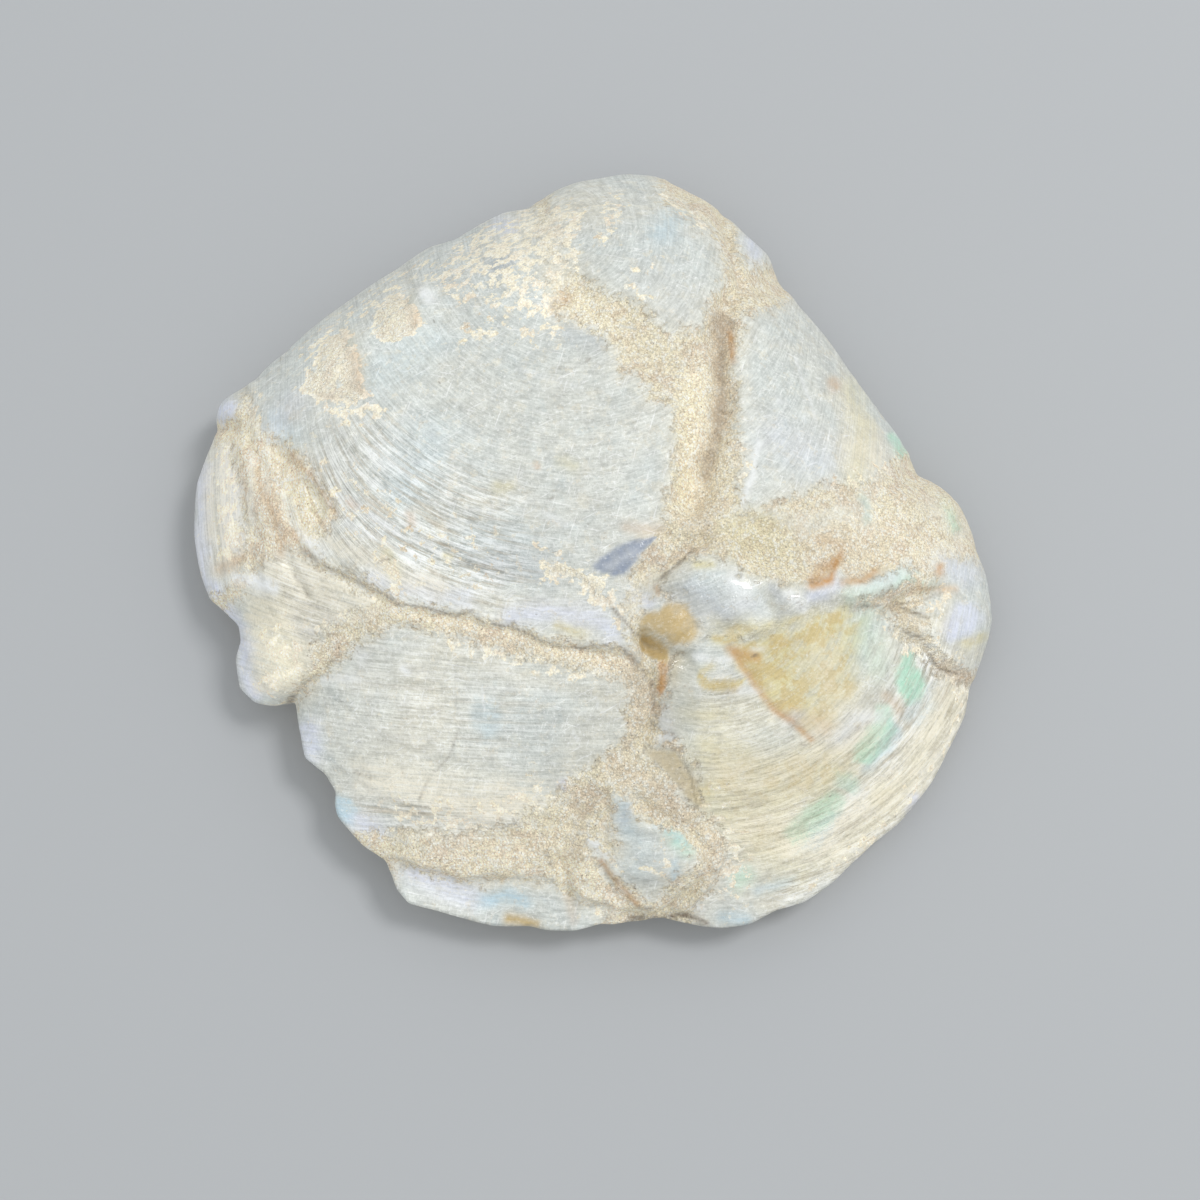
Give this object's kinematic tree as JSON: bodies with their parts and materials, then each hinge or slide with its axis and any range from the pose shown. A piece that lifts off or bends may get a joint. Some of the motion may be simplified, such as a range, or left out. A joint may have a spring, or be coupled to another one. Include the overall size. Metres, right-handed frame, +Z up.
{
  "type": "rough opal specimen",
  "caption": "Opalised shell valve, broken into milky opal plates that sandy matrix cements together, resting on its matrix-packed underside.",
  "frame": {"origin": "middle of the bounding box's bottom, on the surface that the specimen rests on", "axes": "+Z up, +Y towards the shell's umbo, +X to the right as seen from above with the umbo away"},
  "size_m": [0.0602, 0.0596, 0.017],
  "materials": {
    "milky_opal": "milky opal plates, satin to glossy, with matt sandy matrix in the cracks"
  },
  "bodies": {
    "root": {"opal_specimen": "milky_opal"}
  },
  "joints": []
}
